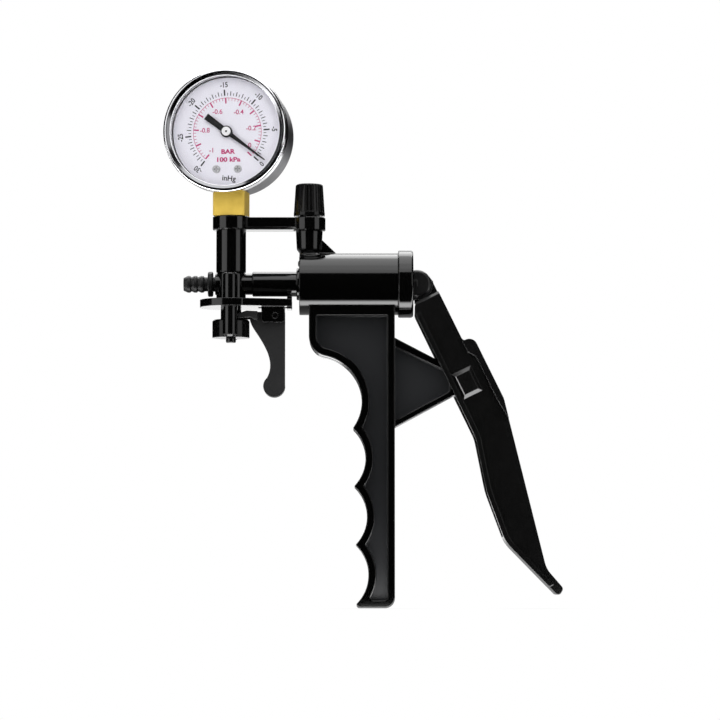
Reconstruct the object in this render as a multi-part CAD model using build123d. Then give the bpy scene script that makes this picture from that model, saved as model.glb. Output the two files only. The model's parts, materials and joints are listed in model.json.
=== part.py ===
"""Pistol-grip hand vacuum pump with a dial gauge, modelled in millimetres, one STEP file per piece.

Frame: X runs along the pump's axis from the hose tail (-X) to the squeeze lever (+X), Z is up and
the gauge faces -Y. The origin is on the pump's axis, at the middle ridge of the hose tail.
"""
from build123d import *

import os
from math import acos, atan2, cos, degrees, hypot, pi, radians, sin, tan

# ---- driving dimensions -------------------------------------------------------------------------
TOWER_X = 12.4  # axis of the upright that carries the gauge
POST_X = 39.8  # axis of the exhaust post on top of the cylinder

CYLINDER_FRONT_X = 36.4
CYLINDER_REAR_X = 71.0
CYLINDER_R = 10.85
BORE_R = 8.6
FRONT_WALL = 2.8

CAP_R = 11.8
CAP_LENGTH = 5.2
CAP_WALL = 2.2
SPIGOT_R = 10.0  # rear end of the cylinder, inside the cap's skirt

PISTON_FRONT_GAP = 1.0
PISTON_LENGTH = 7.0
ROD_R = 4.3
ROD_PIN_X = 77.6
ROD_PIN_R = 1.4

PIVOT_X = 94.8  # lever pivot
PIVOT_Z = -35.0
PIVOT_PIN_R = 1.6

GRIP_FRONT_X = 39.8
GRIP_REAR_X = 69.7
GRIP_BOTTOM_Z = -113.2
GRIP_HALF_WIDTH = 7.5
GRIP_RIM = 2.6
WEB_HALF = 1.6

TRIGGER_X = 28.0  # trigger pivot
TRIGGER_Z = -11.4
TRIGGER_PIN_R = 1.0

GAUGE_YAW = 8.0  # the gauge is screwed in a little past square, its face turned towards -X
GAUGE_Z = 52.6
GAUGE_CASE_R = 20.8

RUNNING = 0.04  # radial clearance of a pin or shaft that turns or slides
SEATED = 0.02  # radial clearance of pieces that are fixed together

os.makedirs("parts", exist_ok=True)


# ---- small helpers ------------------------------------------------------------------------------
def x_cylinder(x0, x1, r, y=0.0, z=0.0):
    """Cylinder along X between two stations."""
    plane = Plane(origin=(x0, y, z), x_dir=(0, 1, 0), z_dir=(1, 0, 0))
    return extrude(plane * Circle(r), amount=x1 - x0)


def y_cylinder(y0, y1, r, x=0.0, z=0.0):
    """Cylinder along Y between two stations."""
    plane = Plane(origin=(x, y0, z), x_dir=(1, 0, 0), z_dir=(0, 1, 0))
    return extrude(plane * Circle(r), amount=y1 - y0)


def z_cylinder(z0, z1, r, x=0.0, y=0.0):
    """Cylinder along Z between two stations."""
    return extrude(Plane(origin=(x, y, z0)) * Circle(r), amount=z1 - z0)


def z_cone(z0, r0, z1, r1, x=0.0, y=0.0):
    """Truncated cone along Z."""
    return loft([Plane(origin=(x, y, z0)) * Circle(r0), Plane(origin=(x, y, z1)) * Circle(r1)])


def block(x0, x1, y0, y1, z0, z1):
    """Box between opposite corners."""
    centre = ((x0 + x1) / 2, (y0 + y1) / 2, (z0 + z1) / 2)
    return Pos(*centre) * Box(x1 - x0, y1 - y0, z1 - z0)


def slab(face, half_width):
    """Side profile, drawn as (x, z), grown to both sides of the mid-plane."""
    return extrude(Plane.XZ * face, amount=half_width, both=True)


def turned_x(points):
    """Solid of revolution about the X axis from (x, r) points."""
    face = make_face(Polyline(*points, close=True))
    return revolve(face, axis=Axis.X)


def turned_z(points, x=0.0, y=0.0):
    """Solid of revolution about a vertical axis from (r, z) points."""
    face = Plane.XZ * make_face(Polyline(*points, close=True))
    return Pos(x, y, 0) * revolve(face, axis=Axis.Z)


def coil_spring(length, mean_r, wire_r, turns):
    """Open compression spring along +Z, starting at z = 0."""
    rise = length - 2 * wire_r
    path = Pos(0, 0, wire_r) * Helix(pitch=rise / turns, height=rise, radius=mean_r)
    start = Plane(origin=path @ 0, z_dir=path % 0)
    return sweep(start * Circle(wire_r), path=path)


def save(part, name):
    export_step(part, f"parts/{name}.step")


# ---- pump body: cylinder, grip, pivot bracket and exhaust post in one moulding ------------------
GROOVE_PITCH = 20.3
GROOVE_DEPTH = 4.3
GROOVE_TOP = (55.0, -51.0)  # first cusp between two finger grooves
GROOVE_DRIFT = 0.5  # each cusp stands this much further back than the one above
GROOVES = 3
FIRST_FINGER = (42.16, -41.35)  # centre of the large hollow under the shoulder
FIRST_FINGER_R = 16.06
GRIP_TOP_Z = -6.8
SHOULDER_R = 7.0
HEEL_R = 3.4
COLUMN_X = 54.8  # nothing of the grip below the first finger stands further forward
TOE_X = 56.4
TOE_R = 1.0
CUSP_R = 0.5


def rectangle(x0, x1, z0, z1):
    return Pos((x0 + x1) / 2, (z0 + z1) / 2) * Rectangle(x1 - x0, z1 - z0)


def corner(face, x, z):
    """Vertex of a flat face nearest to (x, z)."""
    return min(face.vertices(), key=lambda v: hypot(v.X - x, v.Y - z))


def grip_outline(inset):
    """Side profile of the grip, drawn in by an inset that keeps the rim's thickness even."""
    front, rear = GRIP_FRONT_X + inset, GRIP_REAR_X - inset
    bottom, top = GRIP_BOTTOM_Z + inset, GRIP_TOP_Z - inset
    face = rectangle(front, rear, bottom, top)
    face -= rectangle(0, COLUMN_X + inset, bottom - 1, FIRST_FINGER[1])
    face -= Pos(*FIRST_FINGER) * Circle(FIRST_FINGER_R + inset)
    groove_r = ((GROOVE_PITCH / 2) ** 2 + GROOVE_DEPTH**2) / (2 * GROOVE_DEPTH)
    for i in range(GROOVES):
        x = GROOVE_TOP[0] + (i + 0.5) * GROOVE_DRIFT + GROOVE_DEPTH - groove_r
        z = GROOVE_TOP[1] - (i + 0.5) * GROOVE_PITCH
        face -= Pos(x, z) * Circle(groove_r + inset)
    face -= rectangle(0, TOE_X + inset, bottom - 1, bottom + 6)
    for i in range(GROOVES):
        cusp = (GROOVE_TOP[0] + i * GROOVE_DRIFT + inset, GROOVE_TOP[1] - i * GROOVE_PITCH)
        face = fillet(corner(face, *cusp), CUSP_R)
    face = fillet(corner(face, TOE_X + inset, bottom), TOE_R)
    face = fillet(corner(face, front, -25.4), SHOULDER_R - inset)
    face = fillet(corner(face, rear, bottom), HEEL_R - inset * 0.8)
    return fillet([corner(face, front, top), corner(face, rear, top)], 1.2)


def grip():
    """I-section grip: a rim that follows the outline and a thin web half-way across it."""
    panel = grip_outline(GRIP_RIM) & rectangle(0, 99, -200, -CYLINDER_R - 0.6)
    solid = slab(grip_outline(0), GRIP_HALF_WIDTH)
    return solid - slab(panel, GRIP_HALF_WIDTH) + slab(panel, WEB_HALF)


BRACKET_HALF_WIDTH = 4.9
BOSS_R = 4.4


def pivot_bracket():
    """Triangular bracket behind the grip, ending in the boss that carries the lever pin."""
    root_x = GRIP_REAR_X - 1.0
    tip_x = PIVOT_X - 1.0
    outline = make_face(
        Polyline(
            (root_x, -18.6), (88.0, -28.7), (tip_x, PIVOT_Z + BOSS_R - 0.1),
            (tip_x, PIVOT_Z - BOSS_R + 0.1), (90.0, -39.4), (root_x, -50.9), close=True,
        )
    )
    panel = make_face(
        Polyline((root_x, -21.7), (88.9, -31.4), (88.9, -37.9), (root_x, -48.6), close=True)
    )
    panel = fillet(panel.vertices().group_by(Axis.X)[-1], 1.4)
    solid = slab(outline, BRACKET_HALF_WIDTH)
    pocket = slab(panel, BRACKET_HALF_WIDTH) - slab(panel, WEB_HALF)
    boss = y_cylinder(-BRACKET_HALF_WIDTH, BRACKET_HALF_WIDTH, BOSS_R, PIVOT_X, PIVOT_Z)
    hole = y_cylinder(-9, 9, PIVOT_PIN_R + SEATED, PIVOT_X, PIVOT_Z)
    return (solid - pocket) + boss - hole


POST_TOP_Z = 18.6
POST_TOP_R = 4.7
POST_FOOT_R = 4.35
POST_BORE_R = 2.4
POST_SPIGOT_R = 3.3
POST_SPIGOT_TOP_Z = 25.2
VALVE_SEAT_Z = 9.5  # floor of the post's bore, around the air hole to the cylinder
EXHAUST_Z = 7.2  # height of the exhaust valve in the cylinder's front wall


def exhaust_post():
    """Tapered post above the front of the cylinder, with its foot ring and rear gusset."""
    shaft = z_cone(12.0, POST_FOOT_R, POST_TOP_Z, POST_TOP_R, POST_X)
    foot = turned_z([(0, 4), (3.4, 4), (3.4, 10.8), (POST_FOOT_R, 12.1), (0, 12.1)], POST_X)
    ring = z_cylinder(9.0, 10.7, POST_FOOT_R + 0.6, POST_X)
    ring = chamfer(ring.edges().filter_by(GeomType.CIRCLE).group_by(Axis.Z)[-1], 0.35)
    ring = ring & block(CYLINDER_FRONT_X, 60, -9, 9, 0, 12)
    spigot = z_cylinder(POST_TOP_Z - 0.1, POST_SPIGOT_TOP_Z, POST_SPIGOT_R, POST_X)
    wedge = Polyline(
        (POST_X + 3, 15.3), (POST_X + 4.7, 15.3), (49.6, 10.4), (POST_X + 3, 10.0), close=True
    )
    return shaft + foot + ring + spigot + slab(make_face(wedge), 1.3)


def pump_body():
    skirt_end = CYLINDER_REAR_X + CAP_LENGTH - CAP_WALL
    front_inside = CYLINDER_FRONT_X + FRONT_WALL
    barrel = x_cylinder(CYLINDER_FRONT_X, CYLINDER_REAR_X, CYLINDER_R)
    barrel += x_cylinder(CYLINDER_REAR_X - 0.1, skirt_end, SPIGOT_R)
    solid = barrel + exhaust_post() + grip() + pivot_bracket()
    solid -= x_cylinder(front_inside, skirt_end + 1, BORE_R)
    solid -= x_cylinder(CYLINDER_FRONT_X - 1, front_inside + 1, INLET_SPIGOT_R + SEATED)
    solid -= x_cylinder(CYLINDER_FRONT_X - 1, front_inside + 1, 0.6, z=EXHAUST_Z)
    solid -= z_cylinder(VALVE_SEAT_Z, POST_SPIGOT_TOP_Z + 1, POST_BORE_R, POST_X)
    solid -= z_cylinder(0.0, VALVE_SEAT_Z + 1, 0.9, POST_X)
    return solid


# ---- cylinder end, piston and rod ---------------------------------------------------------------
CAP_REAR_X = CYLINDER_REAR_X + CAP_LENGTH
BUSH_R = 5.4
PISTON_X = CYLINDER_FRONT_X + FRONT_WALL + PISTON_FRONT_GAP
PISTON_REAR_X = PISTON_X + PISTON_LENGTH
TONGUE_HALF = 1.8
CLEVIS_SLOT_HALF = 2.0
ROD_END_R = 4.75  # domed end, always outside the cap
ROD_END_HALF = 4.1
ROD_CHEEK_R = 5.6  # the cheeks reach below the dome
ROD_PIN_FRONT = 3.3
RETURN_COIL_R = 6.6
RETURN_WIRE_R = 0.6


def rear_cap():
    """Cap pressed over the rear end of the cylinder, with the hole for the rod's bush."""
    inner_x = CAP_REAR_X - CAP_WALL
    solid = x_cylinder(CYLINDER_REAR_X, CAP_REAR_X, CAP_R)
    rims = solid.edges().filter_by(GeomType.CIRCLE)
    solid = fillet(rims.group_by(Axis.X)[-1], 0.9)
    solid = chamfer(solid.edges().filter_by(GeomType.CIRCLE).group_by(Axis.X)[0], 0.25)
    solid -= x_cylinder(CYLINDER_REAR_X - 1, inner_x, SPIGOT_R + SEATED)
    return solid - x_cylinder(0, CAP_REAR_X + 1, BUSH_R + SEATED)


def rod_bush():
    """Bush in the cap that guides the rod."""
    return x_cylinder(CAP_REAR_X - 3.4, CAP_REAR_X, BUSH_R) - x_cylinder(0, 99, ROD_R + RUNNING)


def piston():
    """Piston with a groove for its cup seal, a seat for the rod and a recess for its screw."""
    r = BORE_R - 0.1
    profile = [
        (PISTON_X, 0), (PISTON_X, r), (PISTON_X + 2.0, r), (PISTON_X + 2.0, 6.6),
        (PISTON_X + 4.8, 6.6), (PISTON_X + 4.8, r), (PISTON_REAR_X, r), (PISTON_REAR_X, 0),
    ]
    solid = turned_x(profile)
    solid -= x_cylinder(PISTON_X + 3.6, PISTON_REAR_X + 1, ROD_R + SEATED)
    solid -= x_cylinder(PISTON_X - 1, PISTON_X + 1.4, 2.8)
    return solid - x_cylinder(PISTON_X, PISTON_REAR_X, 1.3)


def piston_seal():
    """Rubber cup seal: its lip flares towards the vacuum side."""
    front, rear = PISTON_X + 2.1, PISTON_X + 4.7
    r = BORE_R - RUNNING / 2
    return turned_x(
        [(front, 6.65), (front, 7.3), (front + 0.9, 7.5), (front, 8.2), (front, r),
         (front + 0.5, r), (rear, BORE_R - 0.1), (rear, 6.65)]
    )


def piston_screw():
    head = x_cylinder(PISTON_X + 0.2, PISTON_X + 1.4, 2.6)
    head -= block(0, PISTON_X + 0.7, -3, 3, -0.3, 0.3)
    return head + x_cylinder(PISTON_X + 1.3, PISTON_X + 8.0, 1.2)


def piston_rod():
    """Round rod with a domed, slotted end whose cheeks straddle the lever's tongue."""
    front = PISTON_X + 3.6
    outside_cap = rectangle(CAP_REAR_X + 0.15, 99, -9, 9)
    dome = y_cylinder(-ROD_END_HALF, ROD_END_HALF, ROD_END_R, ROD_PIN_X)
    dome = fillet(dome.edges().filter_by(GeomType.CIRCLE), 1.1)
    cheek = Pos(ROD_PIN_X, 0) * Circle(ROD_CHEEK_R) & rectangle(CAP_REAR_X, 99, -9, 1.0)
    solid = x_cylinder(front, ROD_PIN_X, ROD_R)
    solid += (dome + slab(cheek, CLEVIS_SLOT_HALF + 0.9)) & slab(outside_cap, 9)
    slot_x = ROD_PIN_X - 5.4
    solid -= block(slot_x, 90, -CLEVIS_SLOT_HALF, CLEVIS_SLOT_HALF, -9, 9)
    solid -= y_cylinder(-ROD_PIN_FRONT - 0.05, 9, ROD_PIN_R + SEATED, ROD_PIN_X)
    return solid - x_cylinder(front - 1, PISTON_X + 9.0, 1.2 + SEATED)


def rod_pin():
    """Pin pushed in from the rear cheek; it ends inside the front one."""
    return y_cylinder(-ROD_PIN_FRONT, ROD_END_HALF, ROD_PIN_R, ROD_PIN_X)


def return_spring():
    length = CAP_REAR_X - CAP_WALL - PISTON_REAR_X - 0.4
    spring = coil_spring(length, RETURN_COIL_R, RETURN_WIRE_R, 5.5)
    return Pos(PISTON_REAR_X + 0.2, 0, 0) * (Rot(0, 90, 0) * spring)


# ---- inlet: tube and check valves ---------------------------------------------------------------
INLET_SPIGOT_R = 3.3
INLET_R = 4.35
INLET_LEFT_X = 19.9
NIPPLE_END_X = 25.5


def inlet_tube():
    """Tube between the manifold's nipple and the cylinder, with the seat of the intake valve."""
    inside = CYLINDER_FRONT_X + FRONT_WALL
    solid = x_cylinder(INLET_LEFT_X, CYLINDER_FRONT_X, INLET_R)
    solid = chamfer(solid.edges().filter_by(GeomType.CIRCLE).group_by(Axis.X)[0], 0.3)
    flange = x_cylinder(CYLINDER_FRONT_X - 1.0, CYLINDER_FRONT_X - SEATED, 5.6)
    solid += fillet(flange.edges().filter_by(GeomType.CIRCLE).group_by(Axis.X)[0], 0.35)
    solid = solid & block(0, CYLINDER_FRONT_X - SEATED, -9, 9, -9, 9)
    solid += x_cylinder(CYLINDER_FRONT_X - 1.0, inside, INLET_SPIGOT_R)
    solid -= x_cylinder(INLET_LEFT_X - 1, NIPPLE_END_X + 0.3, NIPPLE_R + SEATED)
    solid -= x_cylinder(INLET_LEFT_X, inside - 1.4, 2.0)
    solid -= x_cylinder(inside - 2, inside + 1, 0.8)
    for i in range(4):
        angle = radians(45 + 90 * i)
        solid -= x_cylinder(inside - 2, inside + 1, 0.45, 1.45 * cos(angle), 1.45 * sin(angle))
    return solid


def umbrella_valve(seat_x, disc_r, stem_r, stem_length, facing):
    """Rubber umbrella valve: a thin disc on a stem; facing is +1 when the disc lies on the +X side."""
    disc = [(0, 0), (0, 0.55), (disc_r * 0.5, 0.5), (disc_r, 0.15), (disc_r, 0)]
    points = [(seat_x + facing * (0.02 + t), r) for r, t in disc]
    stem = x_cylinder(seat_x - facing * stem_length, seat_x + facing * 0.2, stem_r)
    end_x = seat_x - facing * stem_length
    knob = x_cylinder(end_x, end_x + facing * 0.5, stem_r + 0.2)
    return turned_x(points) + stem + knob


def intake_valve():
    return umbrella_valve(CYLINDER_FRONT_X + FRONT_WALL, 2.5, 0.7, 2.2, 1)


def exhaust_valve():
    valve = umbrella_valve(CYLINDER_FRONT_X, 1.2, 0.55, 3.4, -1)
    return Pos(0, 0, EXHAUST_Z) * valve


# ---- tower: manifold, hose tail, riser, brace and base plate --------------------------------------
NIPPLE_R = 3.3
MANIFOLD_R = 5.15
MANIFOLD_TOP_Z = 3.85
PLATE_R = 10.85
PLATE_TOP_Z = -5.6
PLATE_BOTTOM_Z = -8.2
GUIDE_Y = 7.6
GUIDE_R = 2.6
GUIDE_TOP_Z = 3.5
GUIDE_BOTTOM_Z = -18.3
VALVE_TUBE_R = 3.6
VALVE_TUBE_BOTTOM_Z = -16.8
VALVE_BORE_R = 1.9
STUB_R = 2.6
STUB_END_X = 9.3
TAIL_BORE_R = 1.2
RISER_R = 5.2
RISER_TOP_Z = 23.8
SEAT_R = 3.0  # spigot of the riser in the manifold and of the gauge's socket in the riser
RIDGE_PITCH = 2.3
RIDGE_R = 2.95
BRACE_BOTTOM_Z = 18.9
BRACE_TOP_Z = 23.3


def guide_pair(radius, z0, z1):
    return [z_cylinder(z0, z1, radius, TOWER_X, y) for y in (-GUIDE_Y, GUIDE_Y)]


def guide_post(y):
    """Round post with a rounded head and a short tapered foot."""
    post = z_cylinder(GUIDE_BOTTOM_Z, GUIDE_TOP_Z, GUIDE_R, TOWER_X, y)
    rims = post.edges().filter_by(GeomType.CIRCLE).group_by(Axis.Z)
    post = fillet(rims[-1], 0.9)
    foot = z_cone(GUIDE_BOTTOM_Z - 0.7, GUIDE_R - 0.9, GUIDE_BOTTOM_Z, GUIDE_R - 0.3, TOWER_X, y)
    return post + foot


def manifold():
    """Junction block: hose tail on the left, gauge above, cylinder to the right, valve below."""
    solid = z_cylinder(PLATE_TOP_Z, MANIFOLD_TOP_Z, MANIFOLD_R, TOWER_X)
    solid = chamfer(solid.edges().filter_by(GeomType.CIRCLE).group_by(Axis.Z)[-1], 0.4)
    solid += x_cylinder(TOWER_X, INLET_LEFT_X - SEATED, 3.7)
    solid += x_cylinder(TOWER_X, NIPPLE_END_X, NIPPLE_R)
    solid += x_cylinder(6.9, TOWER_X, 3.75)
    solid += z_cylinder(VALVE_TUBE_BOTTOM_Z, 0, VALVE_TUBE_R, TOWER_X)
    solid += block(TOWER_X - 1.5, TOWER_X + 1.5, -GUIDE_Y, GUIDE_Y, PLATE_TOP_Z, GUIDE_TOP_Z - 1.5)
    for side_y in (-1, 1):
        solid += guide_post(side_y * GUIDE_Y)
    solid -= z_cylinder(VALVE_TUBE_BOTTOM_Z - 1, 2, VALVE_BORE_R, TOWER_X)
    solid -= x_cylinder(STUB_END_X, NIPPLE_END_X + 1, 1.8)
    solid -= x_cylinder(0, STUB_END_X + 0.1, STUB_R + SEATED)
    return solid - z_cylinder(1.0, 9, SEAT_R + SEATED, TOWER_X)


def hose_tail():
    """Barbed hose connection: three ridges, a thin neck, a flange and a stub into the manifold."""
    points = [(-4.2, TAIL_BORE_R), (-4.2, 2.28)]
    for ridge in (-1, 0, 1):
        x = ridge * RIDGE_PITCH
        points += [(x - 0.4, RIDGE_R), (x + 0.4, RIDGE_R), (x + 0.9, 2.5)]
    points += [
        (4.35, 2.5), (4.35, 4.1), (4.65, 4.4), (5.8, 4.4), (6.1, 4.1), (6.1, STUB_R),
        (7.4, STUB_R), (7.4, 2.1), (8.6, 2.1), (8.6, STUB_R), (STUB_END_X, STUB_R),
        (STUB_END_X, TAIL_BORE_R),
    ]
    return turned_x(points)


def hose_tail_seal():
    ring = Torus((2.1 + STUB_R) / 2, (STUB_R - 2.1) / 2 - 0.01)
    return Pos(8.0, 0, 0) * (Rot(0, 90, 0) * ring)


def gauge_riser():
    solid = z_cylinder(MANIFOLD_TOP_Z + SEATED, RISER_TOP_Z, RISER_R, TOWER_X)
    solid = chamfer(solid.edges().filter_by(GeomType.CIRCLE).group_by(Axis.Z)[0], 0.3)
    solid += z_cylinder(1.2, MANIFOLD_TOP_Z + 1, SEAT_R, TOWER_X)
    solid -= z_cylinder(0, 30, 1.4, TOWER_X)
    return solid - z_cylinder(RISER_TOP_Z - 7, RISER_TOP_Z + 1, SEAT_R + SEATED, TOWER_X)


def brace_bar():
    """Bar that ties the top of the riser to the exhaust post, with a ring round each."""
    left = z_cylinder(BRACE_BOTTOM_Z, RISER_TOP_Z, 6.45, TOWER_X)
    right = z_cylinder(POST_TOP_Z + SEATED, BRACE_TOP_Z + 0.15, 5.67, POST_X)
    web = block(TOWER_X, POST_X, -3.0, 3.0, BRACE_BOTTOM_Z, BRACE_TOP_Z)
    lip = block(TOWER_X, POST_X, -3.8, 3.8, BRACE_BOTTOM_Z, BRACE_BOTTOM_Z + 0.95)
    lip = chamfer(lip.edges().filter_by(Axis.X).group_by(Axis.Z)[-1], 0.6)
    rings = [
        chamfer(ring.edges().filter_by(GeomType.CIRCLE), 0.3) for ring in (left, right)
    ]
    solid = web + lip + rings[0] + rings[1]
    solid -= z_cylinder(0, 40, RISER_R + SEATED, TOWER_X)
    return solid - z_cylinder(0, 40, POST_SPIGOT_R + SEATED, POST_X)


TRIGGER_HALF = 2.5
TRIGGER_LUG_OUT = 5.2


def base_plate():
    """Plate under the tower, with a link that holds the inlet tube and lugs for the trigger."""
    lobe = Pos(TOWER_X, 0) * Circle(PLATE_R)
    tail = Polyline(
        (TOWER_X, -PLATE_R), (33.7, -6.2), (33.7, 6.2), (TOWER_X, PLATE_R), close=True
    )
    height = PLATE_TOP_Z - PLATE_BOTTOM_Z
    solid = Pos(0, 0, PLATE_BOTTOM_Z) * extrude(lobe + make_face(tail), height)
    saddle = x_cylinder(32.1, 33.7, INLET_R + 1.2) & block(32, 34, -9, 9, -9, -2.6)
    solid += saddle + block(32.1, 33.7, -4.0, 4.0, -8.9, -4.4)
    lugs = block(23.2, 31.2, -TRIGGER_LUG_OUT, TRIGGER_LUG_OUT, -13.75, PLATE_BOTTOM_Z + 0.1)
    solid += fillet(lugs.edges().filter_by(Axis.Y).group_by(Axis.Z)[0], 1.2)
    slot = TRIGGER_HALF + 0.1
    solid -= block(22, 32, -slot, slot, -15, PLATE_BOTTOM_Z + 0.2)
    solid -= x_cylinder(19, 35, INLET_R + SEATED)
    solid -= y_cylinder(-9, 9, TRIGGER_PIN_R + SEATED, TRIGGER_X, TRIGGER_Z)
    solid -= z_cylinder(-20, 0, VALVE_TUBE_R + SEATED, TOWER_X)
    for hole in guide_pair(GUIDE_R + SEATED, -20, 9):
        solid -= hole
    return solid


# ---- lever ----------------------------------------------------------------------------------------
LEVER_ANGLE = degrees(atan2(-PIVOT_Z, PIVOT_X - ROD_PIN_X))  # arm's slope below the horizontal
PIN_REACH = hypot(-PIVOT_Z, PIVOT_X - ROD_PIN_X)  # lever pivot to rod pin, released
CHEEK_OUT = 7.5
CHEEK_IN = 5.7
SPINE = 2.2
PALM_HALF_WIDTH = 9.0
LIP_HALF_WIDTH = 8.5
LIP = 1.7
NOSE_S = -13.6  # distance along the arm from the pivot at which the palm flange begins
FLANGE_END_S = 17.5
LEVER_TOP_S = -33.1
ARM_V = 5.2  # rear edge of the upper arm
TOP_WIDTH = 8.9  # width of the upper arm at its top end
PALM_V = 9.0
HEAD_R = 4.0  # tongue's head where it reaches into the bush
OUTER_HEAD_R = 4.9  # and where it is clear of the cap
SLOT_LENGTH = 4.2
SLOT_WIDTH = 3.8


def on_lever(s, v):
    """Point at s along the arm below the pivot and v towards the palm, as (x, z)."""
    angle = radians(LEVER_ANGLE)
    x = PIVOT_X + s * cos(angle) + v * sin(angle)
    z = PIVOT_Z - s * sin(angle) + v * cos(angle)
    return (x, z)


def lever_shift(s, v):
    x, z = on_lever(s, v)
    return Pos(x - PIVOT_X, z - PIVOT_Z)


def lever_band(s0, s1):
    """Everything between two distances along the arm."""
    return make_face(
        Polyline(on_lever(s0, -30), on_lever(s1, -30), on_lever(s1, 30), on_lever(s0, 30), close=True)
    )


def lever_side():
    """Side outline of the lever: straight upper arm, palm flange, bent handle and flared tip."""
    palm = [(NOSE_S, PALM_V), (10.6, PALM_V), (70.0, -3.9), (78.8, -1.6), (80.6, -4.4)]
    inner = [(55.5, -12.6), (37.0, -10.7), (18.5, -5.8), (-29.6, -5.5)]
    top = [(LEVER_TOP_S, ARM_V - TOP_WIDTH), (LEVER_TOP_S, ARM_V), (NOSE_S, ARM_V)]
    outline = top + palm + inner
    face = make_face(Polyline(*[on_lever(s, v) for s, v in outline], close=True))
    rounds = [
        ((NOSE_S, PALM_V), 2.9), ((NOSE_S, ARM_V), 0.8), ((10.6, PALM_V), 6.0), ((70.0, -3.9), 9.0),
        ((78.8, -1.6), 1.4), ((80.6, -4.4), 1.2), ((55.5, -12.6), 14.0), ((37.0, -10.7), 30.0),
        ((18.5, -5.8), 12.0), ((-29.6, -5.5), 1.5),
    ]
    for (s, v), radius in rounds:
        face = fillet(corner(face, *on_lever(s, v)), radius)
    return face


def palm_flange():
    """Where the palm side is widest: from the nose to just below the bend."""
    corners = [
        (NOSE_S - 1, ARM_V - 0.3), (-9.5, ARM_V - 0.3), (-6.7, PALM_V - SPINE),
        (10.0, PALM_V - SPINE), (FLANGE_END_S, 7.5), (FLANGE_END_S, 20), (NOSE_S - 1, 20),
    ]
    return make_face(Polyline(*[on_lever(s, v) for s, v in corners], close=True))


def tongue():
    """Flat tongue with a round head that reaches up to the rod's pin."""
    pin = Pos(*on_lever(-PIN_REACH, 0))
    clear_of_cap = rectangle(CAP_REAR_X + 0.5, 99, -50, 20)
    neck = [
        (-PIN_REACH, 0), (-24, ARM_V - TOP_WIDTH), (-24, ARM_V), (-PIN_REACH + 1.0, ARM_V),
        (-PIN_REACH - 0.6, OUTER_HEAD_R),
    ]
    arm = make_face(Polyline(*[on_lever(s, v) for s, v in neck], close=True))
    corner_fill = [(-PIN_REACH, 0), (-PIN_REACH, -OUTER_HEAD_R), (LEVER_TOP_S, ARM_V - TOP_WIDTH),
                   (LEVER_TOP_S, 0)]
    arm += make_face(Polyline(*[on_lever(s, v) for s, v in corner_fill], close=True))
    return pin * Circle(HEAD_R) + ((arm + pin * Circle(OUTER_HEAD_R)) & clear_of_cap)


def lever():
    """Channel-shaped squeeze lever, open towards the grip, with the slotted tongue on top."""
    side = lever_side()
    hollow = side & (lever_shift(0, -SPINE) * side) & (lever_shift(-SPINE, 0) * side)
    hollow += lever_band(-60, -PIN_REACH + 9.4)
    solid = slab(side, CHEEK_OUT)
    top_x = on_lever(LEVER_TOP_S, 0)[0]
    ends = [
        e for e in solid.edges()
        if abs(e.length - TOP_WIDTH) < 0.1 and abs(e.center().X - top_x) < 2
    ]
    solid = chamfer(ends, 0.9)
    solid += slab(side & palm_flange(), PALM_HALF_WIDTH)
    lip = (side - lever_shift(0, LIP) * side) & lever_band(-29, 76)
    solid += slab(lip, LIP_HALF_WIDTH)
    for side_y in (-1, 1):
        solid += pivot_frame(side_y)
    solid -= slab(hollow, CHEEK_IN)
    solid += slab(tongue(), TONGUE_HALF)
    wall = [(-28.4, -3.5), (-26.6, -3.5), (-26.6, 4.5), (-28.4, 4.5)]
    solid += slab(make_face(Polyline(*[on_lever(s, v) for s, v in wall], close=True)), CHEEK_IN + 0.1)
    slot = SlotCenterToCenter(SLOT_LENGTH, SLOT_WIDTH, rotation=-LEVER_ANGLE)
    middle = (PIN_REACH - PIVOT_Z) / 2
    solid -= slab(Pos(*on_lever(-middle, 0)) * slot, TONGUE_HALF + 1)
    blind_end = -(PIN_FRONT + 0.05)
    return solid - y_cylinder(blind_end, 20, PIVOT_PIN_R + RUNNING, PIVOT_X, PIVOT_Z)


PIN_FRONT = CHEEK_OUT + 0.4  # the pin's end under the front boss, from the mid-plane
FRAME_LENGTH = 9.6
FRAME_WIDTH = 7.5
FRAME_HEIGHT = 1.25


def pivot_frame(side_y):
    """Bevelled square boss round the pivot pin on one cheek."""
    base = Plane(
        origin=(PIVOT_X, side_y * CHEEK_OUT, PIVOT_Z),
        x_dir=(cos(radians(LEVER_ANGLE)), 0, -sin(radians(LEVER_ANGLE))),
        z_dir=(0, side_y, 0),
    )
    face = base * Rectangle(FRAME_LENGTH, FRAME_WIDTH)
    return extrude(face, FRAME_HEIGHT, taper=46) + extrude(face, -0.3)


def lever_pin():
    """Pin that ends under the boss on the gauge's side and is flush with the boss behind."""
    rear_end = CHEEK_OUT + FRAME_HEIGHT
    return y_cylinder(-PIN_FRONT, rear_end, PIVOT_PIN_R, PIVOT_X, PIVOT_Z)


# ---- release valve and its trigger ----------------------------------------------------------------
TRIGGER_BACK_X = 31.35
BULB = (27.6, -35.9)
BULB_R = 3.8
FORK_IN = 3.9
FORK_OUT = 5.6
CAP_TOP_Z = -12.6
CAP_FLOOR_Z = -17.6
CAP_BOTTOM_Z = -18.9
VALVE_CAP_R = 6.5
CAP_BORE_R = 4.4
VALVE_COIL_R = 3.95
VALVE_WIRE_R = 0.22


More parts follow.
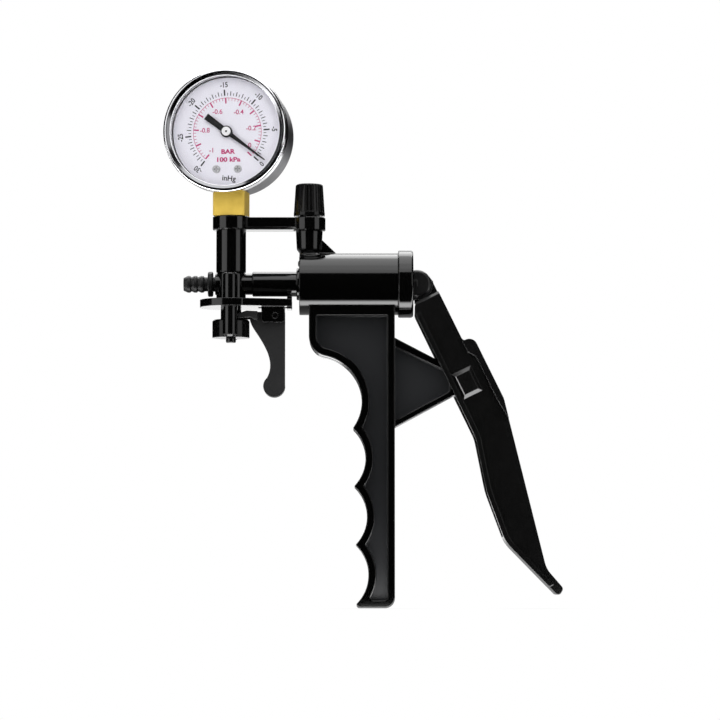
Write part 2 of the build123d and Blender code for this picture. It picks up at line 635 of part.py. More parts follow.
def trigger():
    """Curved finger blade under its pivot, with a fork that pushes the valve cap down."""
    front = Spline(
        (18.98, -12.3), (19.6, -14.2), (21.7, -17.6), (24.1, -21.6), (26.1, -27.1), (24.0, -34.6)
    )
    start = Polyline(front @ 0, (19.2, -10.6), (20.2, -9.9), (TRIGGER_BACK_X, -9.9))
    back = Polyline((TRIGGER_BACK_X, -9.9), (TRIGGER_BACK_X, BULB[1]), BULB, front @ 1)
    blade = make_face(start + front + back) + Pos(*BULB) * Circle(BULB_R)
    solid = slab(blade, TRIGGER_HALF)
    arm = Polyline(
        (22.4, -9.9), (18.0, -9.7), (15.2, -10.6), (14.6, -12.0), (15.4, -12.3), (19.0, -11.9),
        (22.4, -13.0), close=True,
    )
    fork = slab(make_face(arm), FORK_OUT) - block(10, 20.2, -FORK_IN, FORK_IN, -20, 0)
    fork -= block(21.8, 40, -9, 9, -20, 0)
    solid += fork
    return solid - y_cylinder(-9, 9, TRIGGER_PIN_R + RUNNING, TRIGGER_X, TRIGGER_Z)


def trigger_pin():
    return y_cylinder(-TRIGGER_LUG_OUT, TRIGGER_LUG_OUT, TRIGGER_PIN_R, TRIGGER_X, TRIGGER_Z)


def valve_cap():
    """Round cap that slides on the valve tube, notched for the two guide posts."""
    solid = z_cylinder(CAP_BOTTOM_Z, CAP_TOP_Z, VALVE_CAP_R, TOWER_X)
    rims = solid.edges().filter_by(GeomType.CIRCLE).group_by(Axis.Z)
    solid = chamfer(rims[-1], 0.5)
    solid -= z_cylinder(CAP_FLOOR_Z, CAP_TOP_Z - 1.0, CAP_BORE_R, TOWER_X)
    solid -= z_cylinder(CAP_FLOOR_Z, 0, VALVE_TUBE_R + RUNNING, TOWER_X)
    solid -= z_cylinder(-30, 0, 1.0 + SEATED, TOWER_X)
    for notch in guide_pair(GUIDE_R + 0.15, -30, 0):
        solid -= notch
    return solid


def valve_seal():
    """Rubber disc carried by the cap; it closes the lower mouth of the valve tube."""
    disc = z_cylinder(CAP_FLOOR_Z, VALVE_TUBE_BOTTOM_Z - 0.01, 3.4, TOWER_X)
    return disc - z_cylinder(-30, 0, 1.0 + SEATED, TOWER_X)


def seal_retainer():
    """Headed stem that holds the seal in the cap and shows as a stub underneath."""
    profile = [
        (0, -16.5), (1.6, -16.5), (1.6, -16.8), (1.0, -16.8), (1.0, CAP_BOTTOM_Z),
        (1.75, CAP_BOTTOM_Z), (1.75, -20.3), (1.45, -20.6), (0, -20.6),
    ]
    return turned_z(profile, TOWER_X)


def valve_spring():
    """Light spring between the cap's top wall and the clip; it keeps the valve shut."""
    top, bottom = CAP_TOP_Z - 1.05, VALVE_TUBE_BOTTOM_Z + 0.65
    spring = coil_spring(top - bottom, VALVE_COIL_R, VALVE_WIRE_R, 2.5)
    return Pos(TOWER_X, 0, bottom) * spring


def spring_clip():
    ring = z_cylinder(VALVE_TUBE_BOTTOM_Z, VALVE_TUBE_BOTTOM_Z + 0.6, CAP_BORE_R - 0.15, TOWER_X)
    return ring - z_cylinder(-30, 0, VALVE_TUBE_R + SEATED, TOWER_X)


# ---- bleed knob ------------------------------------------------------------------------------------
KNOB_BOTTOM_Z = 24.3
KNOB_TOP_Z = 35.2
KNOB_FLUTES = 24
KNOB_FOOT_R = 5.45
KNOB_HEAD_R = 4.75
THREAD_R = 1.9


def bleed_knob():
    """Fluted knob on a stem that screws down into the post and presses on the pad."""
    base = BRACE_TOP_Z + 0.45
    solid = z_cone(KNOB_BOTTOM_Z, KNOB_FOOT_R, KNOB_TOP_Z, KNOB_HEAD_R, POST_X)
    solid = fillet(solid.edges().filter_by(GeomType.CIRCLE).group_by(Axis.Z)[-1], 0.8)
    for i in range(KNOB_FLUTES):
        angle = radians(360 * i / KNOB_FLUTES)
        foot = (POST_X + KNOB_FOOT_R * cos(angle), KNOB_FOOT_R * sin(angle), KNOB_BOTTOM_Z)
        head = (POST_X + KNOB_HEAD_R * cos(angle), KNOB_HEAD_R * sin(angle), KNOB_TOP_Z)
        path = Line(foot, head)
        solid -= sweep(Plane(origin=foot, z_dir=path % 0) * Circle(0.2), path=path)
    solid += z_cylinder(base + 0.15, KNOB_BOTTOM_Z + 0.9, KNOB_FOOT_R, POST_X)
    solid -= z_cylinder(0, POST_SPIGOT_TOP_Z + 0.4, POST_SPIGOT_R + 0.15, POST_X)
    return solid + z_cylinder(VALVE_SEAT_Z + 2.5, KNOB_TOP_Z - 3, THREAD_R, POST_X)


def bleed_pad():
    """Rubber pad that the knob's stem presses on the air hole."""
    return z_cylinder(VALVE_SEAT_Z + 0.1, VALVE_SEAT_Z + 2.48, POST_BORE_R - RUNNING, POST_X)


# ---- gauge: built about the tower axis, facing -Y, then turned by its yaw -------------------------
SOCKET_HALF = 5.6
SOCKET_TOP = -11.2  # heights inside the gauge are measured from the middle of the dial
CASE_WALL = 1.0
CASE_FRONT_Y = -10.6
CASE_BACK_Y = 9.0
BEZEL_R = 21.75
BEZEL_FRONT_Y = -14.5
BEZEL_ROUND = 1.3
BEZEL_INNER_R = 19.3
WINDOW_R = 20.2
WINDOW_FRONT_Y = -12.5
WINDOW_BACK_Y = -11.3
DIAL_R = 19.2
DIAL_FRONT_Y = -8.2
DIAL_BACK_Y = -7.6
TUBE_R = 15.8
TUBE_THICK = 1.8
TUBE_WIDE = 4.0
GEAR_MODULE = 0.25
PINION_TEETH = 12
SECTOR_TEETH = 90  # of the full circle; only an arc of them is cut
SECTOR_R = GEAR_MODULE * SECTOR_TEETH / 2
PINION_R = GEAR_MODULE * PINION_TEETH / 2
SECTOR_DIRECTION = -20.0  # from the dial's middle to the sector's pivot
SECTOR_FRONT_Y = -5.6
SECTOR_BACK_Y = -4.8
TAIL_ARM = 4.0
TAIL_ANGLE = 18.0
ZERO_ANGLE = -37.0  # where the needle rests on the dial
SPINDLE_R = 0.6


def in_gauge(part):
    """Move a piece from the gauge's own frame to its place on the riser."""
    return Pos(TOWER_X, 0, GAUGE_Z) * (Rot(0, 0, -GAUGE_YAW) * part)


def polar(radius, angle, x=0.0, z=0.0):
    return (x + radius * cos(radians(angle)), z + radius * sin(radians(angle)))


def disc(y_front, y_back, radius, x=0.0, z=0.0):
    return y_cylinder(y_front, y_back, radius, x, z)


def plate(face, y_front, y_back):
    """Flat piece from a face drawn in (x, z) between two depths."""
    solid = extrude(Plane.XZ * face, y_back - y_front, dir=(0, 1, 0))
    return Pos(0, y_front, 0) * solid


def gauge_ring(points):
    """Solid of revolution about the dial's axis from (r, y) points."""
    outline = Polyline(*[(r, y, 0) for r, y in points], close=True)
    return revolve(make_face(outline), Axis.Y)


SECTOR_PIVOT = polar(SECTOR_R + PINION_R, SECTOR_DIRECTION)
LINK_PIN = polar(TAIL_ARM, TAIL_ANGLE, *SECTOR_PIVOT)
LINK_LENGTH = 4.0
DIAL_SCREWS = [(-3.8, -13.0), (3.8, -13.0)]


def gauge_socket():
    """Brass socket: square outside, spigot below, and inside the case the seat of the movement."""
    riser_top = RISER_TOP_Z - GAUGE_Z
    half = SOCKET_HALF
    outside = block(-half, half, -half, half, riser_top + SEATED, -20.0)
    outside = chamfer(outside.edges().filter_by(Axis.Z), 0.5)
    inside = block(-half, half, DIAL_BACK_Y + SEATED, 3.0, -18.6, SOCKET_TOP)
    neck = block(-4.5, 4.5, -4.5, 4.5, -20.5, -18.5)
    solid = outside + inside - gauge_case_ring(SEATED)
    solid += neck + z_cylinder(riser_top - 6.5, riser_top + 1, SEAT_R)
    solid -= z_cylinder(riser_top - 7, -15.0, 1.2)
    solid -= tube_arc(Rectangle(TUBE_THICK + 2 * SEATED, TUBE_WIDE + 2 * SEATED))
    for x, z in DIAL_SCREWS:
        solid -= disc(-9, -4, 0.6 + SEATED, x, z)
    return in_gauge(solid)


def gauge_case_ring(extra):
    """Case wall as a full ring, with a little room around it."""
    outer = disc(CASE_FRONT_Y, CASE_BACK_Y, GAUGE_CASE_R + extra)
    return outer - disc(CASE_FRONT_Y - 1, CASE_BACK_Y + 1, GAUGE_CASE_R - CASE_WALL - extra)


def gauge_case():
    solid = disc(CASE_FRONT_Y, CASE_BACK_Y, GAUGE_CASE_R)
    rear = solid.edges().filter_by(GeomType.CIRCLE).group_by(Axis.Y)[-1]
    solid = fillet(rear, 0.9)
    solid -= disc(CASE_FRONT_Y - 1, CASE_BACK_Y - CASE_WALL, GAUGE_CASE_R - CASE_WALL)
    hole = 4.5 + SEATED
    return in_gauge(solid - block(-hole, hole, -hole, hole, -30, -10))


def gauge_bezel():
    """Polished ring with a rounded crest and an inner face that slopes down to the window."""
    centre_r, centre_y = BEZEL_R - BEZEL_ROUND, BEZEL_FRONT_Y + BEZEL_ROUND
    crest = [
        (centre_r + BEZEL_ROUND * cos(radians(a)), centre_y - BEZEL_ROUND * sin(radians(a)))
        for a in range(0, 91, 9)
    ]
    return in_gauge(gauge_ring([
        (GAUGE_CASE_R + SEATED, -9.0), (BEZEL_R - 0.3, -9.0), (BEZEL_R, -9.3),
        *crest, (BEZEL_INNER_R, BEZEL_FRONT_Y + 0.92), (BEZEL_INNER_R, WINDOW_FRONT_Y - SEATED),
        (WINDOW_R + SEATED, WINDOW_FRONT_Y - SEATED), (WINDOW_R + SEATED, WINDOW_BACK_Y),
        (GAUGE_CASE_R + SEATED, WINDOW_BACK_Y),
    ]))


def gauge_window():
    return in_gauge(disc(WINDOW_FRONT_Y, WINDOW_BACK_Y, WINDOW_R))


def gauge_gasket():
    ring = disc(WINDOW_BACK_Y + SEATED, CASE_FRONT_Y - SEATED, GAUGE_CASE_R - 0.1)
    return in_gauge(ring - disc(-20, 0, BEZEL_INNER_R))


def dial_plate():
    solid = disc(DIAL_FRONT_Y, DIAL_BACK_Y, DIAL_R) - disc(-9, 0, SPINDLE_R + 0.3)
    for x, z in DIAL_SCREWS:
        solid -= disc(-9, 0, 0.6 + SEATED, x, z)
    return in_gauge(solid)


def dial_screws():
    """Two screws that hold the dial to the socket."""
    screws = []
    for x, z in DIAL_SCREWS:
        head = disc(DIAL_FRONT_Y - 0.8, DIAL_FRONT_Y - SEATED, 1.35, x, z)
        head = chamfer(head.edges().filter_by(GeomType.CIRCLE).group_by(Axis.Y)[0], 0.25)
        screw = head + disc(DIAL_FRONT_Y - 0.5, -4.5, 0.6, x, z)
        for across, along in ((0.9, 0.2), (0.2, 0.9)):
            screw -= block(x - across, x + across, -20, DIAL_FRONT_Y - 0.4, z - along, z + along)
        screws.append(in_gauge(screw))
    return Compound(children=screws)


def tube_arc(section):
    """A section bent over most of a circle, from the socket round the left to the right."""
    start = Plane.XY * (Pos(TUBE_R, 0) * section)
    return Rot(0, -3, 0) * revolve(start, Axis.Y, revolution_arc=-247)


def bourdon_tube():
    section = fillet(Rectangle(TUBE_THICK, TUBE_WIDE).vertices(), 0.6)
    section -= fillet(Rectangle(TUBE_THICK - 0.7, TUBE_WIDE - 0.7).vertices(), 0.4)
    x, z = polar(TUBE_R, 3.0)
    cap = block(x - 0.9, x + 0.9, -2.0, 2.0, z - 1.2, z - 0.02)
    lug = block(x - 0.9, x + 0.9, -3.9, -1.9, z - 1.2, z + 1.6)
    return in_gauge(tube_arc(section) + (cap + lug))


def movement_face():
    points = [(-6.5, -11.18), (5.5, -11.18), (13.8, -7.6), (14.3, 1.0), (8.0, 5.2), (-6.5, 6.8)]
    face = make_face(Polyline(*points, close=True))
    return fillet(face.vertices(), 1.4)


MOVEMENT_PILLARS = [(9.2, -8.2), (11.6, 1.2), (-4.9, -6.2), (-4.6, 4.6)]


def movement_plates():
    """Front and back plates of the movement, held apart by four pillars."""
    solid = plate(movement_face(), -7.3, -6.6) + plate(movement_face(), -2.9, -2.2)
    for x, z in MOVEMENT_PILLARS:
        solid += disc(-7.3, -2.2, 0.8, x, z)
    solid -= disc(-9, 0, SPINDLE_R + RUNNING)
    return in_gauge(solid - disc(-9, 0, SPINDLE_R + RUNNING, *SECTOR_PIVOT))


def involute(angle):
    return tan(angle) - angle


def tooth_half_angle(radius, pitch_r, thickness):
    """Half the angle that a tooth spans at a radius, for 20 degree involute flanks."""
    pressure = radians(20)
    base = pitch_r * cos(pressure)
    flank = involute(acos(base / radius)) if radius > base else 0.0
    return degrees(thickness / (2 * pitch_r) + involute(pressure) - flank)


def tooth(pitch_r, addendum, dedendum, centre_angle):
    """One tooth as a face about the origin; its thickness leaves a quarter of a tooth of play."""
    thickness = 0.75 * pi * GEAR_MODULE / 2
    radii = [pitch_r - dedendum - 0.1, pitch_r - dedendum / 2, pitch_r, pitch_r + addendum]
    halves = [tooth_half_angle(r, pitch_r, thickness) for r in radii]
    left = [polar(r, centre_angle + h) for r, h in zip(radii, halves)]
    right = [polar(r, centre_angle - h) for r, h in zip(radii, halves)]
    return make_face(Polyline(*(left + right[::-1]), close=True))


def sector_gear():
    """Toothed sector that turns the needle's pinion, with its arbor and the tail for the link."""
    mesh = SECTOR_DIRECTION + 180
    pitch = 360 / SECTOR_TEETH
    root_r = SECTOR_R - 1.2 * GEAR_MODULE
    angles = [mesh + k * pitch for k in range(-2, 12)]
    wedge = [(0, 0), polar(20, angles[0] - 3), polar(30, mesh + 18), polar(20, angles[-1] + 3)]
    arc = make_face(Polyline(*wedge, close=True))
    rim = (Circle(root_r) - Circle(root_r - 2.0)) & arc
    spoke = Pos(root_r / 2, 0) * Rectangle(root_r, 1.5)
    spokes = [Rot(0, 0, angle) * spoke for angle in (angles[1], angles[-2])]
    tail = Rot(0, 0, TAIL_ANGLE) * (Pos(TAIL_ARM / 2, 0) * Rectangle(TAIL_ARM, 1.8))
    end = Pos(*polar(TAIL_ARM, TAIL_ANGLE)) * Circle(1.1)
    face = rim + spokes[0] + spokes[1] + tail + end + Circle(1.9)
    for angle in angles:
        face += tooth(SECTOR_R, 0.75 * GEAR_MODULE, 1.2 * GEAR_MODULE, angle)
    x, z = SECTOR_PIVOT
    solid = Pos(x, 0, z) * plate(face, SECTOR_FRONT_Y, SECTOR_BACK_Y)
    solid += disc(-7.3, -2.2, SPINDLE_R, x, z)
    solid += disc(-6.4, -3.2, 1.1, x, z)
    return in_gauge(solid - disc(-9, 0, 0.5 + RUNNING, *LINK_PIN))


def pinion_spindle():
    """Spindle with the twelve-toothed pinion; the needle is pressed on its front end."""
    mesh = SECTOR_DIRECTION + 180 / PINION_TEETH
    face = Circle(PINION_R - 1.2 * GEAR_MODULE)
    for i in range(PINION_TEETH):
        face += tooth(PINION_R, GEAR_MODULE, 1.2 * GEAR_MODULE, mesh + i * 360 / PINION_TEETH)
    solid = plate(face, SECTOR_FRONT_Y - 0.3, SECTOR_BACK_Y + 0.3)
    return in_gauge(solid + disc(-10.0, -2.2, SPINDLE_R))


def link():
    """Link between the sector's tail and the free end of the bourdon tube."""
    x, z = LINK_PIN
    bar = Pos(x, z + LINK_LENGTH / 2) * SlotCenterToCenter(LINK_LENGTH, 2.0, rotation=90)
    solid = plate(bar, -4.6, -4.0)
    return in_gauge(solid + disc(-6.2, -4.2, 0.5, x, z))


def hairspring():
    """Flat spiral spring round the spindle, in front of the back plate."""
    steps = 60
    turns = 2.75
    strip_width = 0.12
    inner_points = []
    outer_points = []
    for i in range(steps + 1):
        radius, angle = 1.2 + 2.6 * i / steps, 360 * turns * i / steps
        inner_points.append(polar(radius, angle))
        outer_points.append(polar(radius + strip_width, angle))
    inner = Spline(*inner_points)
    outer = Spline(*outer_points)
    strip = make_face(inner + Line(inner @ 1, outer @ 1) + outer + Line(outer @ 0, inner @ 0))
    collet = Circle(1.3) - Circle(SPINDLE_R + 0.1)
    end = polar(3.9, 360 * turns)
    return in_gauge(plate(strip + collet, -3.7, -3.3) + disc(-3.7, -2.92, 0.3, *end))


def needle():
    """Needle with its hub, a long tapering pointer and a short wide tail, resting on zero."""
    half = [(-9.05, 1.2), (0, 0.95), (0, 0.82), (16.9, 0.2)]
    mirrored = [(x, -z) for x, z in reversed(half)]
    face = Rot(0, 0, ZERO_ANGLE) * make_face(Polyline(*(half + mirrored), close=True))
    solid = plate(face, -10.1, -9.7) + disc(-10.4, -9.2, 2.03)
    return in_gauge(solid - disc(-10.02, -2, SPINDLE_R + SEATED / 2))


def needle_cap():
    solid = disc(-10.9, -10.42, 1.56)
    return in_gauge(solid - disc(-11, -10, 0.4))


if __name__ == "__main__":
    pieces = [
        pump_body, rear_cap, rod_bush, piston, piston_seal, piston_screw, piston_rod, rod_pin,
        return_spring, inlet_tube, intake_valve, exhaust_valve, manifold, hose_tail,
        hose_tail_seal, gauge_riser, brace_bar, base_plate, lever, lever_pin, trigger,
        trigger_pin, valve_cap, valve_seal, seal_retainer, valve_spring, spring_clip,
        bleed_knob, bleed_pad, gauge_socket, gauge_case, gauge_bezel, gauge_window, gauge_gasket,
        dial_plate, dial_screws, bourdon_tube, movement_plates, sector_gear, pinion_spindle, link,
        hairspring, needle, needle_cap,
    ]
    for piece in pieces:
        save(piece(), piece.__name__)
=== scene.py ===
"""Looks of the hand vacuum pump: materials, dial printing, springs, studio light and camera."""
import json
from math import atan2, cos, pi, radians, sin, tan

import bmesh
import bpy
from mathutils import Matrix, Vector


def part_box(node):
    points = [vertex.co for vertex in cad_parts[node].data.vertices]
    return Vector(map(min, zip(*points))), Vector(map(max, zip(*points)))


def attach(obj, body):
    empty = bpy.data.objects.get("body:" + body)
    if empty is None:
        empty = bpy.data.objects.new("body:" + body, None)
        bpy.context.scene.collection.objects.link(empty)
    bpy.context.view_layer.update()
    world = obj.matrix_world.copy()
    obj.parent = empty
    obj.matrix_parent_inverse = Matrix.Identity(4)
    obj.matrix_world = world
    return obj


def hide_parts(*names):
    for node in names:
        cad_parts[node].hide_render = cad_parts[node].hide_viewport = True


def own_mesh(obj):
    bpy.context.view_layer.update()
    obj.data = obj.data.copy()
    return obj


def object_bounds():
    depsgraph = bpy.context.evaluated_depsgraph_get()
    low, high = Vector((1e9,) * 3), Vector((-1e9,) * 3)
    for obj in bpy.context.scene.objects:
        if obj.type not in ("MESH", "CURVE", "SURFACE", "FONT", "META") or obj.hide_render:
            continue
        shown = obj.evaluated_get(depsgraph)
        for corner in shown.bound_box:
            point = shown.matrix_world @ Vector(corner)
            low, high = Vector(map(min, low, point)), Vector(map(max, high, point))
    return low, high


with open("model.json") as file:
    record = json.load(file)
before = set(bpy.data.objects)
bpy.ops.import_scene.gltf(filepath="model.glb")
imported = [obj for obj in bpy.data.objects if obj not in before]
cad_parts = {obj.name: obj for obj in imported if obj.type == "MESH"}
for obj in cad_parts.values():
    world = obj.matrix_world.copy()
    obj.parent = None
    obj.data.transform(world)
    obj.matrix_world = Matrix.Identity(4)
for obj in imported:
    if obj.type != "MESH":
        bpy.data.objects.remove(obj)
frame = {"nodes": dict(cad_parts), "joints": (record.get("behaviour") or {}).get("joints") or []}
cad_box = [list(corner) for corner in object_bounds()]
nodes = frame["nodes"]
joints = {joint["name"]: joint for joint in frame["joints"]}

# ---- measures -------------------------------------------------------------------------------------
MM = 0.001
MICRON = 0.001 * MM
DIAL_CENTRE = Vector(joints["needle_spin"]["pos_m"])
FACING = Vector(joints["needle_spin"]["axis"])  # the way the gauge looks
YAW = atan2(FACING.x, -FACING.y)
BEZEL_INNER_R = 19.3 * MM
CASE_INNER_R = 19.8 * MM
SLOPE_R = 20.5 * MM  # the painted shade on the bezel's slope ends here
CREST_R = 21.1 * MM  # its bright crest begins here
WEB_HALF = 1.6 * MM  # half the thickness of the body's webs
WEB_TOP_Z = -11.0 * MM
PUMP_MIDDLE = Vector((50, 0, -20)) * MM

# Painted shade: the bezel's steel gets this darker colour on its slope to dim its reflections.
PAINTED_SLOPE_SHADE = (0.22, 0.22, 0.23)
CREST_COLOR = (0.85, 0.85, 0.87)
CASE_COLOR = (0.13, 0.13, 0.14)
ENAMEL_COLOR = (0.8, 0.8, 0.83)


# ---- materials ------------------------------------------------------------------------------------
BEVEL_SAMPLES = 6


def set_inputs(node, values):
    for name, value in values.items():
        node.inputs[name.replace("_", " ")].default_value = value


class Shader:
    """A Principled material that is built up node by node."""

    def __init__(self, name, **surface_values):
        self.material = bpy.data.materials.new(name)
        self.material.use_nodes = True
        self.tree = self.material.node_tree
        self.surface = self.tree.nodes["Principled BSDF"]
        set_inputs(self.surface, surface_values)
        self.coordinates = self.add("ShaderNodeTexCoord")

    def add(self, kind, **values):
        node = self.tree.nodes.new(kind)
        set_inputs(node, values)
        return node

    def link(self, start, end):
        self.tree.links.new(start, end)

    def noise(self, feature, detail=2.0):
        """Noise in object space whose features are about the given size in metres."""
        noise = self.add("ShaderNodeTexNoise", Scale=1 / feature, Detail=detail)
        self.link(self.coordinates.outputs["Object"], noise.inputs["Vector"])
        return noise.outputs["Fac"]

    def place(self, axis):
        """One coordinate of the shaded point, in metres."""
        split = self.add("ShaderNodeSeparateXYZ")
        self.link(self.coordinates.outputs["Object"], split.inputs["Vector"])
        return split.outputs[axis]

    def span(self, value, low, high):
        """Rescale a 0 to 1 value to a range."""
        node = self.add("ShaderNodeMapRange", To_Min=low, To_Max=high)
        self.link(value, node.inputs["Value"])
        return node.outputs["Result"]

    def smooth_step(self, value, start, end, low=0.0, high=1.0):
        """Low up to the start, high from the end, and a soft change in between."""
        node = self.add(
            "ShaderNodeMapRange", From_Min=start, From_Max=end, To_Min=low, To_Max=high,
        )
        node.interpolation_type = "SMOOTHSTEP"
        self.link(value, node.inputs["Value"])
        return node.outputs["Result"]

    def math(self, operation, first, second=None):
        node = self.add("ShaderNodeMath")
        node.operation = operation
        self.link(first, node.inputs[0])
        if isinstance(second, (int, float)):
            node.inputs[1].default_value = second
        elif second is not None:
            self.link(second, node.inputs[1])
        return node.outputs["Value"]

    def vary_color(self, value, low, high):
        """Base colour between two colours; the second may be another mix's result."""
        mix = self.add("ShaderNodeMix")
        mix.data_type = "RGBA"
        mix.inputs["A"].default_value = (*low, 1)
        if isinstance(high, tuple):
            mix.inputs["B"].default_value = (*high, 1)
        else:
            self.link(high, mix.inputs["B"])
        self.link(value, mix.inputs["Factor"])
        self.link(mix.outputs["Result"], self.surface.inputs["Base Color"])
        return mix.outputs["Result"]

    def vary_roughness(self, value, low, high):
        self.link(self.span(value, low, high), self.surface.inputs["Roughness"])

    def finish(self, value, depth, bevel=0.0):
        """Bump of a depth in metres, over edges that look rounded by the bevel."""
        bump = self.add("ShaderNodeBump", Strength=1.0, Distance=depth)
        self.link(value, bump.inputs["Height"])
        if bevel:
            rounding = self.add("ShaderNodeBevel", Radius=bevel)
            rounding.samples = BEVEL_SAMPLES
            self.link(rounding.outputs["Normal"], bump.inputs["Normal"])
        self.link(bump.outputs["Normal"], self.surface.inputs["Normal"])
        return self.material


def black_plastic(name, polish=0.06, tone=0.0006, shine=0.5):
    """Glossy moulded black: faint flow ripple and a few duller patches."""
    shade = Shader(name, Specular_IOR_Level=shine)
    shade.vary_roughness(shade.noise(18 * MM, 3.0), polish, polish + 0.06)
    shade.vary_color(shade.noise(6 * MM), (tone * 0.7,) * 3, (tone * 1.4,) * 3)
    return shade.finish(shade.noise(4 * MM, 1.0), 6 * MICRON, 0.35 * MM)


def body_plastic():
    """The body's gloss black, with the recessed webs left textured and a little lighter."""
    shade = Shader("body_plastic")
    depth = shade.math("ABSOLUTE", shade.place("Y"))
    inside = shade.math("LESS_THAN", depth, WEB_HALF + 0.32 * MM)
    below = shade.math("LESS_THAN", shade.place("Z"), WEB_TOP_Z)
    web = shade.math("MULTIPLY", inside, below)
    patches = shade.math("MULTIPLY", shade.noise(18 * MM, 3.0), 0.06)
    rough = shade.math("ADD", shade.span(web, 0.06, 0.42), patches)
    shade.link(rough, shade.surface.inputs["Roughness"])
    shade.vary_color(web, (0.0005,) * 3, (0.0066, 0.0071, 0.0086))
    return shade.finish(shade.noise(4 * MM, 1.0), 6 * MICRON, 0.7 * MM)


def satin_plastic(name, roughness, tone, shine=0.5):
    """Satin moulded black with a fine spark-eroded grain."""
    shade = Shader(name, Specular_IOR_Level=shine)
    shade.vary_roughness(shade.noise(10 * MM, 3.0), roughness - 0.07, roughness + 0.08)
    shade.vary_color(shade.noise(8 * MM), (tone * 0.8,) * 3, (tone * 1.2, tone * 1.2, tone * 1.28))
    return shade.finish(shade.noise(0.35 * MM), 30 * MICRON, 0.4 * MM)


def rubber():
    shade = Shader("rubber", Base_Color=(0.02, 0.02, 0.02, 1))
    shade.vary_roughness(shade.noise(4 * MM), 0.55, 0.8)
    return shade.finish(shade.noise(0.4 * MM), 20 * MICRON)


def brass(name, roughness):
    """Bright brass with a fine machined grain and a slightly uneven tone."""
    shade = Shader(name, Metallic=0.35)
    shade.vary_color(shade.noise(3 * MM, 4.0), (0.44, 0.29, 0.035), (0.64, 0.45, 0.075))
    shade.vary_roughness(shade.noise(0.6 * MM, 3.0), roughness - 0.1, roughness + 0.12)
    return shade.finish(shade.noise(0.3 * MM, 3.0), 30 * MICRON, 0.3 * MM)


def metal(name, color, roughness):
    """Plain metal with uneven polish."""
    shade = Shader(name, Metallic=1.0)
    shade.vary_roughness(shade.noise(2 * MM, 3.0), roughness, roughness + 0.05)
    dark = tuple(0.88 * c for c in color)
    shade.vary_color(shade.noise(8 * MM), dark, color)
    return shade.finish(shade.noise(0.5 * MM), 4 * MICRON, 0.3 * MM)


def outside_of(shade, from_radius, to_radius):
    """0 inside one distance from the gauge's axis, 1 outside another, soft in between."""
    # The mapping turns with the gauge and shrinks the distance along its axis to nothing.
    flatten = shade.add("ShaderNodeMapping")
    flatten.vector_type = "TEXTURE"
    flatten.inputs["Location"].default_value = DIAL_CENTRE
    flatten.inputs["Rotation"].default_value = (0, 0, YAW)
    flatten.inputs["Scale"].default_value = (1, 1000, 1)
    shade.link(shade.coordinates.outputs["Object"], flatten.inputs["Vector"])
    radius = shade.add("ShaderNodeVectorMath")
    radius.operation = "LENGTH"
    shade.link(flatten.outputs["Vector"], radius.inputs[0])
    return shade.smooth_step(radius.outputs["Value"], from_radius, to_radius)


def bezel_steel():
    """Pressed ring: bright crest, a slope darkened by painted shade, and a white enamelled wall over
    the window.
    """
    shade = Shader("bezel_steel")
    # Painted shade: the slope is given a darker colour than the crest, though it is the same steel.
    ring = shade.vary_color(outside_of(shade, SLOPE_R, CREST_R), PAINTED_SLOPE_SHADE, CREST_COLOR)
    steel = outside_of(shade, BEZEL_INNER_R + 0.05 * MM, BEZEL_INNER_R + 0.15 * MM)
    shade.vary_color(steel, ENAMEL_COLOR, ring)
    shade.link(steel, shade.surface.inputs["Metallic"])
    shade.vary_roughness(shade.noise(2 * MM, 3.0), 0.12, 0.2)
    return shade.finish(shade.noise(0.5 * MM), 4 * MICRON, 0.2 * MM)


def case_steel():
    """Dark steel case whose inner wall is enamelled white."""
    shade = Shader("case_steel")
    steel = outside_of(shade, CASE_INNER_R + 0.05 * MM, CASE_INNER_R + 0.1 * MM)
    shade.vary_color(steel, ENAMEL_COLOR, CASE_COLOR)
    shade.link(steel, shade.surface.inputs["Metallic"])
    shade.vary_roughness(shade.noise(2 * MM, 3.0), 0.3, 0.42)
    return shade.finish(shade.noise(0.5 * MM), 4 * MICRON, 0.3 * MM)


def screw_zinc():
    """Zinc-plated screws, with painted shade darkening the hollow of their cross recess."""
    shade = Shader("screw_zinc", Roughness=0.35)
    painted_recess_shade = shade.add("ShaderNodeAmbientOcclusion", Distance=0.5 * MM)
    # Painted shade: occlusion darkens the colour in the cross recess.
    shade.vary_color(painted_recess_shade.outputs["AO"], (0.01, 0.01, 0.01), (0.48, 0.48, 0.49))
    return shade.finish(shade.noise(0.3 * MM), 4 * MICRON)


def paint(name, color, roughness):
    """Printed or enamelled surface with a faint grain."""
    shade = Shader(name, Roughness=roughness)
    dark = tuple(0.93 * c for c in color)
    shade.vary_color(shade.noise(3 * MM), dark, color)
    return shade.finish(shade.noise(0.3 * MM), 4 * MICRON)


def window_glass():
    """Thin clear glass: mirror-like at grazing angles, otherwise see-through."""
    shade = Shader("window_glass")
    clear = shade.add("ShaderNodeBsdfTransparent")
    gloss = shade.add("ShaderNodeBsdfGlossy", Roughness=0.02)
    fresnel = shade.add("ShaderNodeFresnel", IOR=1.45)
    smears = shade.add("ShaderNodeBump", Strength=0.2, Distance=10 * MICRON)
    shade.link(shade.noise(20 * MM), smears.inputs["Height"])
    shade.link(smears.outputs["Normal"], gloss.inputs["Normal"])
    mix = shade.add("ShaderNodeMixShader")
    shade.link(fresnel.outputs["Fac"], mix.inputs["Fac"])
    shade.link(clear.outputs[0], mix.inputs[1])
    shade.link(gloss.outputs[0], mix.inputs[2])
    shade.link(mix.outputs[0], shade.tree.nodes["Material Output"].inputs["Surface"])
    shade.tree.nodes.remove(shade.surface)
    return shade.material


